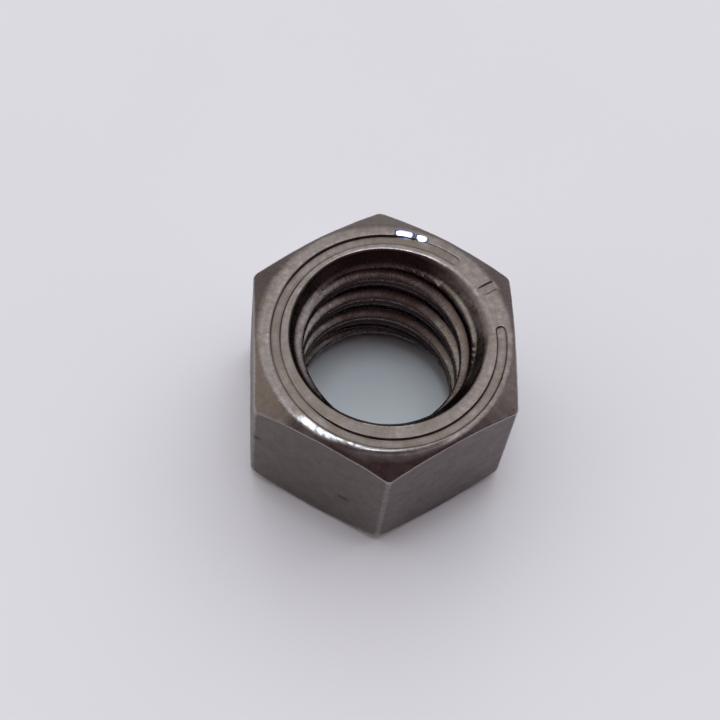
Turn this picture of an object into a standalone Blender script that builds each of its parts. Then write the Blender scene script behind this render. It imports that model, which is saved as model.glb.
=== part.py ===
"""Hex nut with a coarse, shallow right-hand thread, modelled at its real size.

Metres, +Z up. The origin is the centre of the bottom bearing face, on the thread's axis. Two flats
face +X and -X, and two corners point along +Y and -Y. The nut is one forged and tapped piece of
steel: a hexagonal prism, chamfered at both ends, with a countersunk threaded bore. A C-shaped groove
and a short bar are struck into the top face.
"""
import math

import bmesh
import bpy
from mathutils import Matrix, Vector

MM = 0.001

# Body
ACROSS_FLATS = 24.0 * MM
HEIGHT = 16.0 * MM
CORNER_BEVEL = 0.35 * MM
CHAMFER_CIRCLE_RADIUS = 11.55 * MM      # where the end faces meet their chamfers
CHAMFER_ANGLE = math.radians(30.0)      # measured down from the end face

# Threaded bore
MINOR_RADIUS = 7.25 * MM
MAJOR_RADIUS = 8.1 * MM
PITCH = 4.0 * MM
CREST_FLAT = 1.25 * MM
FLANK_ANGLE = math.radians(26.0)        # from the plane square to the axis
CREST_HEIGHT_AT_X = 0.60 * MM           # upper edge of a crest, in the +X direction

# Countersinks; the top one is steep, flat-bottomed and cut a little off the axis
TOP_SINK_RADIUS = 9.0 * MM
TOP_SINK_DEPTH = 1.5 * MM
TOP_SINK_ANGLE = math.radians(32.0)     # from the axis
TOP_SINK_CENTRE = (0.207 * MM, 0.174 * MM)
BOTTOM_SINK_RADIUS = 9.3 * MM
BOTTOM_SINK_ANGLE = math.radians(45.0)  # from the axis

# Blunt start: the thin end of the last crest is cut away
START_CUT_RADIUS = 8.2 * MM
START_CUT_FROM = math.radians(232.0)
START_CUT_TO = math.radians(302.0)
START_CUT_HEIGHT = 12.6 * MM

# Marks struck into the top face
MARK_DEPTH = 0.25 * MM
RING_CENTRE = (0.33 * MM, -0.18 * MM)   # the die struck a little off the axis
RING_RADIUS = 10.36 * MM
RING_WIDTH = 0.87 * MM
RING_START = math.radians(52.0)
RING_END = math.radians(365.3)
BAR_RADIUS = 10.9 * MM
BAR_ANGLE = math.radians(28.1)
BAR_TURN = math.radians(2.9)            # the bar leans this far off the radial line
BAR_LENGTH = 2.0 * MM
BAR_WIDTH = 0.95 * MM

# Fineness
TURN_STEPS = 60
BORE_TURN = math.radians(2.0)           # keeps the bore's facets clear of the thread's
RING_STEPS = 96
END_STEPS = 8
OVERSHOOT = 1.0 * MM                    # how far a cutter passes the face that it cuts
SHARP_ANGLE = math.radians(25.0)

CORNER_RADIUS = ACROSS_FLATS / 2.0 / math.cos(math.radians(30.0))


def new_collection(name):
    """Make a collection under the scene's own."""
    collection = bpy.data.collections.new(name)
    bpy.context.scene.collection.children.link(collection)
    return collection


def add_object(name, data, collection):
    """Make an object of the given data and link it."""
    item = bpy.data.objects.new(name, data)
    collection.objects.link(item)
    return item


def mesh_from_bmesh(name, bm):
    """Turn a bmesh into a mesh with its faces pointing out, and free it."""
    bmesh.ops.recalc_face_normals(bm, faces=bm.faces)
    mesh = bpy.data.meshes.new(name)
    bm.to_mesh(mesh)
    bm.free()
    return mesh


def make_cutter(item):
    """Mark an object as a cutter: drawn as wire and left out of renders."""
    item.display_type = "WIRE"
    item.hide_render = True
    return item


def evaluated_mesh(item):
    """Return a new mesh of the object as its modifiers leave it."""
    graph = bpy.context.evaluated_depsgraph_get()
    return bpy.data.meshes.new_from_object(item.evaluated_get(graph))


def profile_mesh(name, points, closed):
    """Make an edge-only mesh of a profile given as (radius, height) pairs, in the XZ plane."""
    mesh = bpy.data.meshes.new(name)
    count = len(points)
    last = count if closed else count - 1
    edges = [(i, (i + 1) % count) for i in range(last)]
    mesh.from_pydata([(radius, 0.0, height) for radius, height in points], edges, [])
    return mesh


def add_screw(item, steps, rise=0.0, turns=1):
    """Sweep an object's profile around Z, climbing by `rise` each turn."""
    screw = item.modifiers.new("Screw", "SCREW")
    screw.axis = "Z"
    screw.steps = steps
    screw.render_steps = steps
    screw.screw_offset = rise
    screw.iterations = turns
    screw.use_merge_vertices = True
    screw.merge_threshold = 0.00001
    return screw


def turned_cutter(name, points, collection):
    """Turn a profile that starts and ends on the axis into a closed cutter."""
    item = add_object(name, profile_mesh(name, points, closed=False), collection)
    add_screw(item, TURN_STEPS)
    return make_cutter(item)


def build_blank(collection):
    """Make the hexagonal bar that the nut is cut from, longer than the nut at both ends."""
    bm = bmesh.new()
    bmesh.ops.create_cone(
        bm, cap_ends=True, segments=6, radius1=CORNER_RADIUS, radius2=CORNER_RADIUS,
        depth=HEIGHT + 2.0 * OVERSHOOT)
    bmesh.ops.translate(bm, verts=bm.verts, vec=(0.0, 0.0, HEIGHT / 2.0))
    uprights = [edge for edge in bm.edges if abs(edge.verts[0].co.z - edge.verts[1].co.z) > HEIGHT]
    bmesh.ops.bevel(bm, geom=uprights, offset=CORNER_BEVEL, segments=3, profile=0.5, affect="EDGES")
    return add_object("hex_nut", mesh_from_bmesh("hex_nut", bm), collection)


def build_end_envelope(collection):
    """Make the turned solid whose flat ends and cones trim the bar to the nut's chamfered ends."""
    reach = CORNER_RADIUS + OVERSHOOT
    drop = (reach - CHAMFER_CIRCLE_RADIUS) * math.tan(CHAMFER_ANGLE)
    points = [
        (0.0, HEIGHT), (CHAMFER_CIRCLE_RADIUS, HEIGHT), (reach, HEIGHT - drop),
        (reach, drop), (CHAMFER_CIRCLE_RADIUS, 0.0), (0.0, 0.0),
    ]
    return turned_cutter("end_envelope", points, collection)


def build_bore_cutter(collection):
    """Make the drilled bore with the countersink of the bottom face."""
    slope = math.tan(BOTTOM_SINK_ANGLE)
    depth = (BOTTOM_SINK_RADIUS - MINOR_RADIUS) / slope
    points = [
        (0.0, HEIGHT + OVERSHOOT), (MINOR_RADIUS, HEIGHT + OVERSHOOT), (MINOR_RADIUS, depth),
        (BOTTOM_SINK_RADIUS + OVERSHOOT * slope, -OVERSHOOT), (0.0, -OVERSHOOT),
    ]
    cutter = turned_cutter("bore_cutter", points, collection)
    cutter.rotation_euler.z = BORE_TURN
    return cutter


def build_top_sink_cutter(collection):
    """Make the steep flat-bottomed countersink of the top face."""
    slope = math.tan(TOP_SINK_ANGLE)
    points = [
        (0.0, HEIGHT + OVERSHOOT), (TOP_SINK_RADIUS + OVERSHOOT * slope, HEIGHT + OVERSHOOT),
        (TOP_SINK_RADIUS - TOP_SINK_DEPTH * slope, HEIGHT - TOP_SINK_DEPTH),
        (0.0, HEIGHT - TOP_SINK_DEPTH),
    ]
    cutter = turned_cutter("top_sink_cutter", points, collection)
    cutter.location = (*TOP_SINK_CENTRE, 0.0)
    return cutter


def thread_space_profile():
    """Return the outline of the space between two crests, at +X, running down its outer side.

    The crests' flanks are carried inward past the bore, so that the cut leaves no skin.
    """
    inner = MINOR_RADIUS - 0.6 * MM
    half_mouth = (PITCH - CREST_FLAT) / 2.0
    slope = math.tan(FLANK_ANGLE)
    half_root = half_mouth - (MAJOR_RADIUS - MINOR_RADIUS) * slope
    half_inner = half_mouth + (MINOR_RADIUS - inner) * slope
    middle = CREST_HEIGHT_AT_X + half_mouth
    return [
        (inner, middle + half_inner), (MAJOR_RADIUS, middle + half_root),
        (MAJOR_RADIUS, middle - half_root), (inner, middle - half_inner),
    ]


def build_thread_cutter(collection):
    """Make the helical space that the tap cuts, from below the nut to above it."""
    turns_below = 2
    turns = math.ceil(HEIGHT / PITCH) + 2 * turns_below
    points = [(r, z - turns_below * PITCH) for r, z in thread_space_profile()]
    sweep = add_object("thread_sweep", profile_mesh("thread_sweep", points, closed=True), collection)
    add_screw(sweep, TURN_STEPS, rise=PITCH, turns=turns)
    mesh = evaluated_mesh(sweep)
    bpy.data.objects.remove(sweep)
    bm = bmesh.new()
    bm.from_mesh(mesh)
    bpy.data.meshes.remove(mesh)
    open_edges = [edge for edge in bm.edges if edge.is_boundary]
    bmesh.ops.holes_fill(bm, edges=open_edges, sides=0)
    return make_cutter(add_object("thread_cutter", mesh_from_bmesh("thread_cutter", bm), collection))


def arc_points(centre, radius, start, end, steps):
    """Return points along an arc, both ends included."""
    angles = [start + (end - start) * i / steps for i in range(steps + 1)]
    return [(centre[0] + radius * math.cos(a), centre[1] + radius * math.sin(a)) for a in angles]


def ring_cap(angle, facing):
    """Return the inner points of the half circle that ends the groove at the given angle."""
    centre = (RING_CENTRE[0] + RING_RADIUS * math.cos(angle),
              RING_CENTRE[1] + RING_RADIUS * math.sin(angle))
    return arc_points(centre, RING_WIDTH / 2.0, facing, facing + math.pi, END_STEPS)[1:-1]


def ring_outline():
    """Return the outline of the C-shaped groove, with half-round ends."""
    half = RING_WIDTH / 2.0
    outer = arc_points(RING_CENTRE, RING_RADIUS + half, RING_START, RING_END, RING_STEPS)
    inner = arc_points(RING_CENTRE, RING_RADIUS - half, RING_END, RING_START, RING_STEPS)
    end_cap = ring_cap(RING_END, RING_END)
    start_cap = ring_cap(RING_START, RING_START + math.pi)
    return outer + end_cap + inner + start_cap


def bar_outline():
    """Return the outline of the short bar between the groove's ends."""
    centre = Vector((BAR_RADIUS * math.cos(BAR_ANGLE), BAR_RADIUS * math.sin(BAR_ANGLE)))
    turn = Matrix.Rotation(BAR_ANGLE + BAR_TURN, 2)
    corners = ((1, 1), (-1, 1), (-1, -1), (1, -1))
    half = Vector((BAR_LENGTH / 2.0, BAR_WIDTH / 2.0))
    return [tuple(centre + turn @ Vector((half.x * i, half.y * j))) for i, j in corners]


def start_cut_outline():
    """Return the outline of the sector that cuts away the thin end of the last crest."""
    outer = arc_points((0.0, 0.0), START_CUT_RADIUS, START_CUT_FROM, START_CUT_TO, END_STEPS)
    inner = arc_points((0.0, 0.0), MINOR_RADIUS - 0.6 * MM, START_CUT_TO, START_CUT_FROM, END_STEPS)
    return outer + inner


def build_outline_cutter(name, outline, floor, collection):
    """Extrude a flat outline into a cutter from the given height to above the top face."""
    curve = bpy.data.curves.new(name, "CURVE")
    curve.dimensions = "2D"
    curve.fill_mode = "BOTH"
    curve.extrude = (HEIGHT + OVERSHOOT - floor) / 2.0
    spline = curve.splines.new("POLY")
    spline.points.add(len(outline) - 1)
    for point, (x, y) in zip(spline.points, outline):
        point.co = (x, y, 0.0, 1.0)
    spline.use_cyclic_u = True
    flat = add_object(name + "_outline", curve, collection)
    flat.location.z = floor + curve.extrude
    bpy.context.view_layer.update()
    mesh = evaluated_mesh(flat)
    mesh.transform(flat.matrix_world)
    bpy.data.objects.remove(flat)
    bm = bmesh.new()
    bm.from_mesh(mesh)
    bpy.data.meshes.remove(mesh)
    bmesh.ops.remove_doubles(bm, verts=bm.verts, dist=0.000001)
    return make_cutter(add_object(name, mesh_from_bmesh(name, bm), collection))


def add_boolean(item, cutter, operation):
    """Add one Boolean step to an object."""
    step = item.modifiers.new(cutter.name, "BOOLEAN")
    step.operation = operation
    step.solver = "EXACT"
    step.object = cutter


def apply_modifiers(item):
    """Replace an object's mesh with what its modifiers make, shaded smooth between sharp edges."""
    mesh = evaluated_mesh(item)
    item.modifiers.clear()
    item.data = mesh
    mesh.name = item.name
    mesh.shade_smooth()
    mesh.set_sharp_from_angle(angle=SHARP_ANGLE)


def steel_material():
    """Make the plain grey-brown steel of the nut."""
    material = bpy.data.materials.new("forged_steel")
    material.use_nodes = True
    shader = material.node_tree.nodes["Principled BSDF"]
    shader.inputs["Base Color"].default_value = (0.16, 0.145, 0.135, 1.0)
    shader.inputs["Metallic"].default_value = 0.9
    shader.inputs["Roughness"].default_value = 0.42
    return material


def main():
    """Clear the scene and build the nut."""
    for item in list(bpy.data.objects):
        bpy.data.objects.remove(item)
    parts = new_collection("hex_nut_parts")
    cutters = new_collection("cutters")
    nut = build_blank(parts)
    add_boolean(nut, build_end_envelope(cutters), "INTERSECT")
    add_boolean(nut, build_bore_cutter(cutters), "DIFFERENCE")
    add_boolean(nut, build_thread_cutter(cutters), "DIFFERENCE")
    add_boolean(nut, build_top_sink_cutter(cutters), "DIFFERENCE")
    outlines = (
        ("start_cutter", start_cut_outline(), START_CUT_HEIGHT),
        ("ring_cutter", ring_outline(), HEIGHT - MARK_DEPTH),
        ("bar_cutter", bar_outline(), HEIGHT - MARK_DEPTH),
    )
    for name, outline, floor in outlines:
        add_boolean(nut, build_outline_cutter(name, outline, floor, cutters), "DIFFERENCE")
    apply_modifiers(nut)
    nut.data.materials.append(steel_material())


main()
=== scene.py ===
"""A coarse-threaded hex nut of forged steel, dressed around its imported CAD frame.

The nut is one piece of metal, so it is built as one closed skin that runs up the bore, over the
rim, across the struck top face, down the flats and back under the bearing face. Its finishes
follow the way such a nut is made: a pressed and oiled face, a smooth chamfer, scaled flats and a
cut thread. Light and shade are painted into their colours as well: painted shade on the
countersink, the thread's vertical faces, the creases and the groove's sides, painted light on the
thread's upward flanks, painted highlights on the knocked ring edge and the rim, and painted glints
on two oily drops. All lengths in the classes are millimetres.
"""

import logging
import math
from dataclasses import dataclass
from enum import Enum
from typing import NamedTuple

import bpy
import numpy as np
from mathutils import Matrix, Vector


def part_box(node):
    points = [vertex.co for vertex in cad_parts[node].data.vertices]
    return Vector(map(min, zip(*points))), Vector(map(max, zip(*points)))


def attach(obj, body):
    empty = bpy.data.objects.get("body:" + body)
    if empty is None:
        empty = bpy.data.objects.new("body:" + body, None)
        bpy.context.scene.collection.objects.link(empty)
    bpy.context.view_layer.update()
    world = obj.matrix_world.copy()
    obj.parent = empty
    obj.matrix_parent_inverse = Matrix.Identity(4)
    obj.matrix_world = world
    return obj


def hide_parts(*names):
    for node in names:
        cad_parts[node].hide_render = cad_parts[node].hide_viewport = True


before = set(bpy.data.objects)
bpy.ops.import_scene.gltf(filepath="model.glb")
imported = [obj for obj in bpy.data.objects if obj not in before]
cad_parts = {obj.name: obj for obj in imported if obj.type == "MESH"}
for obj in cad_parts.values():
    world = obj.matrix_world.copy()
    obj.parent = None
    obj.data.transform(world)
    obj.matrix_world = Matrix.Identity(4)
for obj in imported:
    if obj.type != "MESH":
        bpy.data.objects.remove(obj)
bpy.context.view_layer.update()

LOG = logging.getLogger("hex_nut_scene")
MM = 0.001
CAD_NODE = "hex_nut"
Colour = tuple[float, float, float]
Rows = list[tuple[np.ndarray, np.ndarray]]
Node = bpy.types.Node
Socket = bpy.types.NodeSocket
Sockets = dict[str, Socket]
Field = np.ndarray

# The recess mask holds painted shade and the cut mask painted light in the bore; the edge mask and the oily
# drops' mask also hold painted highlights and glints.
MASK_NAMES = ("edge", "recess", "oil_glint", "cut", "stain")
CHAMFER_ROWS_STRUCK = 3
NICK_STRETCH = (1.0, 1.0, 1.9)
# Painted reflection of the two oily drops: a dark blue rim and a blue-white glint.
GLINT_DARK_RIM: Colour = (0.035, 0.045, 0.13)
GLINT_SHINE: Colour = (0.62, 0.68, 0.88)


class Region(Enum):
    """The parts of the skin, in the order of their material slots."""

    FACE = 0
    CHAMFER = 1
    FLATS = 2
    BORE = 3
    UNDERSIDE = 4


def smoothstep(low: float, high: float, value: Field) -> Field:
    """Rise smoothly from 0 at low to 1 at high."""
    t = np.clip((value - low) / (high - low), 0.0, 1.0)
    return t * t * (3.0 - 2.0 * t)


def soft_max(a: Field, b: Field, width: float) -> Field:
    """Return the larger of two surfaces, with their crossing rounded over about width."""
    return 0.5 * (a + b + np.sqrt((a - b) ** 2 + width * width))


def wrap_degrees(angle: Field) -> Field:
    """Bring angles into -180 to 180 degrees."""
    return (angle + 180.0) % 360.0 - 180.0


@dataclass(frozen=True)
class Arc:
    """A stretch round the axis with soft ends, its angles in degrees."""

    start: float
    end: float
    fade: float
    strength: float = 1.0

    def at(self, angle: Field) -> Field:
        """Return the strength at each angle: full inside, fading to 0 outside."""
        middle, half = (self.start + self.end) / 2.0, (self.end - self.start) / 2.0
        off = np.abs(wrap_degrees(angle - middle))
        return self.strength * (1.0 - smoothstep(half, half + self.fade, off))


def summed(arcs: tuple[Arc, ...], angle: Field) -> Field:
    """Return the strengths of several stretches added together."""
    return sum(arc.at(angle) for arc in arcs)


def bell(value: Field, middle: float, width: float) -> Field:
    """Return 1 at the middle, falling off smoothly over about the width."""
    return np.exp(-(((value - middle) / width) ** 2))


def ripple(points: Field, wavelength: float, seed: int, waves: int = 22) -> Field:
    """Return smooth and repeatable unevenness of about unit spread.

    Args:
        points: Places in millimetres, with x, y, z on the last axis.
        wavelength: Typical distance between bumps.
        seed: Picks the pattern.
        waves: How many plane waves are summed.

    Returns:
        One value for each place.
    """
    rng = np.random.default_rng(seed)
    ways = rng.normal(size=(waves, 3))
    ways /= np.linalg.norm(ways, axis=1)[:, None]
    numbers = 2.0 * math.pi / wavelength * rng.uniform(0.6, 1.5, waves)
    phases = rng.uniform(0.0, 2.0 * math.pi, waves)
    total = np.zeros(points.shape[:-1])
    for way, number, phase in zip(ways, numbers, phases, strict=True):
        total += np.cos(points @ (way * number) + phase)
    return total * math.sqrt(2.0 / waves)


def skin_normals(points: Field) -> Field:
    """Return the outward normals of a sheet that closes on itself both ways."""
    up = np.roll(points, -1, 0) - np.roll(points, 1, 0)
    round_axis = np.roll(points, -1, 1) - np.roll(points, 1, 1)
    normals = np.cross(up, round_axis)
    return normals / np.maximum(np.linalg.norm(normals, axis=-1), 1e-9)[..., None]


def skin_bending(points: Field) -> tuple[Field, Field]:
    """Return how sharply the skin turns out at its edges, and in at its corners."""
    normals = skin_normals(points)
    convex, concave = np.zeros(points.shape[:-1]), np.zeros(points.shape[:-1])
    for axis in (0, 1):
        step = np.roll(points, -1, axis) - np.roll(points, 1, axis)
        turn = np.roll(normals, -1, axis) - np.roll(normals, 1, axis)
        found = (turn * step).sum(-1) / np.maximum((step * step).sum(-1), 1e-6)
        convex += np.maximum(found, 0.0)
        concave += np.maximum(-found, 0.0)
    return convex, concave


def soften(mask: Field) -> Field:
    """Blur a mask a little both ways."""
    for axis in (0, 1, 0):
        mask = (np.roll(mask, 1, axis) + 2.0 * mask + np.roll(mask, -1, axis)) / 4.0
    return mask


@dataclass
class CutThread:
    """The bore: a coarse cut thread that runs out under a steep countersink."""

    minor_radius: float = 7.25
    root_radius: float = 8.1
    pitch: float = 4.0
    crest_flat: float = 1.25
    flank_run: float = 0.42
    start_height: float = 0.60
    corner_round: float = 0.08
    rim_radius: float = 9.0
    rim_shift: float = 0.27
    rim_shift_way: float = 40.0
    sink_angle: float = 32.0
    lower_rim_radius: float = 9.3
    ledge_height: float = 14.5
    ledge_half: float = 0.07
    burr: float = 0.16
    burr_width: float = 0.10
    burr_arc: Arc = Arc(20.0, 146.0, 26.0)
    height: float = 16.0
    fade_from: float = 1190.0
    fade_over: float = 125.0

    def rim_at(self, angle: Field) -> Field:
        """Return the top countersink's radius at the face; it is cut a little off centre."""
        return self.rim_radius + self.rim_shift * np.cos(np.radians(angle - self.rim_shift_way))

    def profile(self) -> tuple[Field, Field]:
        """Return the ridge's rounded form over one pitch, as heights and shares from 0 to 1."""
        heights = np.linspace(0.0, self.pitch, 800, endpoint=False)
        space = self.pitch - self.crest_flat
        ridge = 1.0 - np.clip(np.minimum(heights, space - heights) / self.flank_run, 0.0, 1.0)
        away = np.minimum(heights, self.pitch - heights)
        kernel = np.exp(-0.5 * (away / self.corner_round) ** 2)
        kernel /= kernel.sum()
        return heights, np.real(np.fft.ifft(np.fft.fft(ridge) * np.fft.fft(kernel)))

    def radius(self, angle: Field, height: Field, rim_drop: Field) -> Field:
        """Return the bore's radius, with the thread and both countersinks.

        Args:
            angle: Angles round the axis in degrees.
            height: Heights above the bearing face.
            rim_drop: How far the rim lies under the top face at each angle.

        Returns:
            The radius at each place.
        """
        heights, shares = self.profile()
        along = (height - self.start_height - self.pitch * angle / 360.0) % self.pitch
        ridge = np.interp(along, heights, shares, period=self.pitch)
        past_crest = np.where(along < (self.pitch - self.crest_flat) / 2.0, along, along - self.pitch)
        turned = (height - past_crest - self.start_height) / self.pitch * 360.0
        ridge = ridge * (1.0 - np.clip((turned - self.fade_from) / self.fade_over, 0.0, 1.0) ** 3)
        lean = math.tan(math.radians(self.sink_angle))
        top_cone = self.rim_at(angle) - (self.height - rim_drop - height) * lean
        low, high = self.ledge_height - self.ledge_half, self.ledge_height + self.ledge_half
        top_cone = top_cone - 2.0 * (1.0 - smoothstep(low, high, height))
        wall = soft_max(np.full_like(height, self.root_radius), top_cone, 0.04)
        wall = wall - self.burr * bell(height, self.ledge_height, self.burr_width) * self.burr_arc.at(angle)
        cut = wall - ridge * (wall - self.minor_radius)
        return soft_max(cut, self.lower_rim_radius - height, 0.05)


@dataclass
class StruckMark:
    """The shallow ring groove and short bar struck in the top face, ring a little off centre."""

    depth: float = 0.13
    deeper: float = 0.13
    centre: tuple[float, float] = (0.33, -0.18)
    radius: float = 10.36
    width: float = 0.87
    start: float = 52.0
    end: float = 365.3
    bar_radius: float = 10.9
    bar_angle: float = 28.1
    bar_turn: float = 2.9
    bar_length: float = 2.0
    bar_width: float = 0.95
    bar_fade: float = 0.9
    bar_depth: float = 0.13
    wall: float = 0.15
    deep_arcs: tuple[Arc, ...] = (Arc(84.0, 140.0, 16.0), Arc(-112.0, -38.0, 30.0, 0.75))
    faint_arcs: tuple[Arc, ...] = (Arc(52.0, 66.0, 9.0, 0.5), Arc(-168.0, -128.0, 14.0, 0.45))

    def from_axis(self, angle: Field, ring_radius: float) -> Field:
        """Return how far from the nut's axis a circle about the ring's own centre lies.

        Args:
            angle: Angles round the nut's axis in degrees.
            ring_radius: The circle's radius about the ring's centre.

        Returns:
            The distance from the nut's axis at each angle.
        """
        turn = np.radians(angle)
        along = self.centre[0] * np.cos(turn) + self.centre[1] * np.sin(turn)
        away = self.centre[0] ** 2 + self.centre[1] ** 2
        return along + np.sqrt(ring_radius**2 - away + along**2)

    def ring_distance(self, x: Field, y: Field) -> Field:
        """Return the distance to the ring groove's centre line, past its ends too."""
        dx, dy = x - self.centre[0], y - self.centre[1]
        bearing = (np.degrees(np.arctan2(dy, dx)) - self.start) % 360.0
        on_arc = bearing <= self.end - self.start
        best = np.where(on_arc, np.abs(np.hypot(dx, dy) - self.radius), 1e3)
        for end in (self.start, self.end):
            turn = math.radians(end)
            tip_x, tip_y = self.radius * math.cos(turn), self.radius * math.sin(turn)
            best = np.minimum(best, np.hypot(dx - tip_x, dy - tip_y))
        return best

    def bar_share(self, x: Field, y: Field) -> Field:
        """Return the bar's share of full depth, with crisp sides and an inner end that fades out."""
        at, turn = math.radians(self.bar_angle), math.radians(self.bar_angle + self.bar_turn)
        dx = x - self.bar_radius * math.cos(at)
        dy = y - self.bar_radius * math.sin(at)
        outward = dx * math.cos(turn) + dy * math.sin(turn)
        across = np.abs(-dx * math.sin(turn) + dy * math.cos(turn)) - self.bar_width / 2.0
        side = 1.0 - smoothstep(-self.wall / 2.0, self.wall / 2.0, across)
        half = self.bar_length / 2.0
        inner_end = smoothstep(-half - 0.1, -half + self.bar_fade, outward)
        return side * inner_end * (1.0 - smoothstep(half - 0.25, half + 0.1, outward))

    def sink(self, x: Field, y: Field) -> Field:
        """Return how far the mark lowers the top face at each place."""
        past = self.ring_distance(x, y) - self.width / 2.0
        ring = 1.0 - smoothstep(-self.wall / 2.0, self.wall / 2.0, past)
        angle = np.degrees(np.arctan2(y, x))
        depth = self.depth * (1.0 - summed(self.faint_arcs, angle))
        depth = depth + self.deeper * summed(self.deep_arcs, angle)
        return depth * ring + self.bar_depth * self.bar_share(x, y)


class Spots(NamedTuple):
    """Places on the skin: their points, angles in degrees, radii and heights."""

    points: Field
    angle: Field
    radius: Field
    height: Field

    @classmethod
    def of(cls, points: Field) -> "Spots":
        """Measure the places of points."""
        x, y, height = np.moveaxis(points, -1, 0)
        return cls(points, np.degrees(np.arctan2(y, x)), np.hypot(x, y), height)


@dataclass
class Weathering:
    """Where the skin is rubbed bright or stained, and where light, shade, highlights and glints are painted
    on it.
    """

    thread: CutThread
    mark: StruckMark
    top: float
    chamfer_radius: float
    drops: tuple[tuple[float, ...], ...] = ((70.2, 3.1, 0.31, 0.34), (78.9, 4.9, 0.35, 0.40))
    # Painted light in the bore: the left side's flanks, the right of the cone and the burr.
    lit_thread_side: Arc = Arc(128.0, 225.0, 25.0)
    lit_cone: Arc = Arc(-24.0, 46.0, 22.0, 0.60)
    lit_burr: Arc = Arc(22.0, 138.0, 22.0, 0.85)
    # The knocked facet is rubbed and also carries a painted highlight; its tail is a painted highlight
    # line.
    knocked: Arc = Arc(-130.0, -107.0, 9.0)
    highlight_tail: Arc = Arc(-104.0, -66.0, 14.0, 0.9)
    dull_bar: Arc = Arc(12.0, 46.0, 6.0)
    # Rubbed rim edges kept mainly where the rim catches a painted highlight.
    rubbed_rim_highlight: tuple[Arc, ...] = (Arc(58.0, 104.0, 18.0, 0.75), Arc(-102.0, -78.0, 7.0, 0.5))
    # Painted shade along the groove's inner and outer sides.
    shade_outer_wall: Arc = Arc(88.0, 222.0, 12.0)
    shade_inner_wall: Arc = Arc(96.0, 232.0, 18.0, 0.8)
    shade_front_wall: Arc = Arc(-112.0, -40.0, 16.0, 0.7)
    shade_thick: Arc = Arc(92.0, 128.0, 20.0, 0.18)
    olive_left: Arc = Arc(150.0, 226.0, 16.0)
    olive_back: Arc = Arc(55.0, 92.0, 10.0)
    olive_front: Arc = Arc(-135.0, -28.0, 14.0, 1.2)
    olive_back_edge: Arc = Arc(62.0, 100.0, 16.0, 0.7)
    olive_left_edge: Arc = Arc(168.0, 214.0, 14.0, 0.8)
    brown_land: Arc = Arc(-164.0, -64.0, 22.0, 0.85)
    brown_bore: Arc = Arc(-30.0, 72.0, 20.0, 0.8)
    brown_flat: Arc = Arc(-150.0, -94.0, 8.0, 0.5)

    def masks(self, points: Field, bent: tuple[Field, Field]) -> dict[str, Field]:
        """Return every mask by name.

        Args:
            points: The skin's points before its forged unevenness.
            bent: How sharply the uneven skin turns out and in.

        Returns:
            One value for each point under each name.
        """
        spots = Spots.of(points)
        edge = soften(smoothstep(0.35, 3.0, bent[0]))
        # Painted shade: concave corners and creases darken.
        recess = soften(smoothstep(0.6, 6.0, bent[1]))
        return {
            "edge": np.maximum(self.spared(edge, spots), self.knocked_edge_highlight(spots)),
            "recess": np.maximum(recess, self.groove_wall_shade(spots)),
            "oil_glint": self.oil_glint(spots),
            "cut": self.lit_bore(spots, skin_normals(points)[..., 2]),
            "stain": self.stain(spots),
        }

    def from_groove(self, spots: Spots) -> Field:
        """Return how far out from the middle of the ring groove each spot lies."""
        return spots.radius - self.mark.from_axis(spots.angle, self.mark.radius)

    def oil_glint(self, spots: Spots) -> Field:
        """Return where two oily drops lie beside the groove, falling to 0 at their rims; the mask also
        carries their painted glint.
        """
        outer = self.mark.radius + self.mark.width / 2.0
        beside = spots.radius - self.mark.from_axis(spots.angle, outer)
        found = np.zeros_like(beside)
        for at, half_turn, out, half_width in self.drops:
            around = (np.abs(spots.angle - at) / half_turn) ** 3 + (np.abs(beside - out) / half_width) ** 3
            found = np.maximum(found, 1.0 - smoothstep(0.45, 1.15, around))
        return found * (spots.height > self.top - 1.0)

    def lit_bore(self, spots: Spots, facing_up: Field) -> Field:
        """Return where the bore is painted lit: its upward flanks, brighter on the left side and towards
        the crests and darker near the top, the lit cone and the burr.
        """
        # Painted light and shadow: flanks brighten towards the crest and on the left; their root side stays
        # in painted shadow.
        deep = np.clip((self.thread.root_radius - spots.radius) / 0.85, 0.0, 1.0)
        light = np.maximum(self.lit_thread_side.at(spots.angle), 0.30 + 0.55 * smoothstep(0.10, 0.70, deep))
        # Painted shade: darker towards the top of the bore.
        light *= 1.0 - 0.36 * smoothstep(9.5, 13.0, spots.height)
        # Painted light: only faces turned upward are lit; the rest takes the dark shaded colour.
        cut = smoothstep(0.30, 0.80, facing_up) * light
        on_cone = spots.radius > self.thread.root_radius + 0.1
        cut = np.maximum(cut, self.lit_cone.at(spots.angle) * on_cone)
        burr = bell(spots.height, self.thread.ledge_height, 0.13)
        cut = np.maximum(cut, burr * self.lit_burr.at(spots.angle))
        inside = spots.radius < self.thread.rim_at(spots.angle) - 0.12
        return soften(cut * (inside & (spots.height < self.top - 0.3)))

    def knocked_edge_highlight(self, spots: Spots) -> Field:
        """Return where the front of the ring edge is knocked bright, with a painted highlight over its
        facet and a painted highlight line as its tail.
        """
        past_edge = spots.radius - self.chamfer_radius
        facet = self.knocked.at(spots.angle) * smoothstep(-0.72, -0.58, past_edge)
        facet *= 1.0 - smoothstep(0.0, 0.18, past_edge)
        facet *= np.clip(0.72 + 0.30 * ripple(spots.points * [1.0, 1.0, 0.0], 0.5, 41), 0.0, 1.0)
        tail = self.highlight_tail.at(spots.angle) * bell(past_edge, -0.06, 0.12)
        return np.maximum(facet, tail) * (spots.height > self.top - 1.0)

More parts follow.
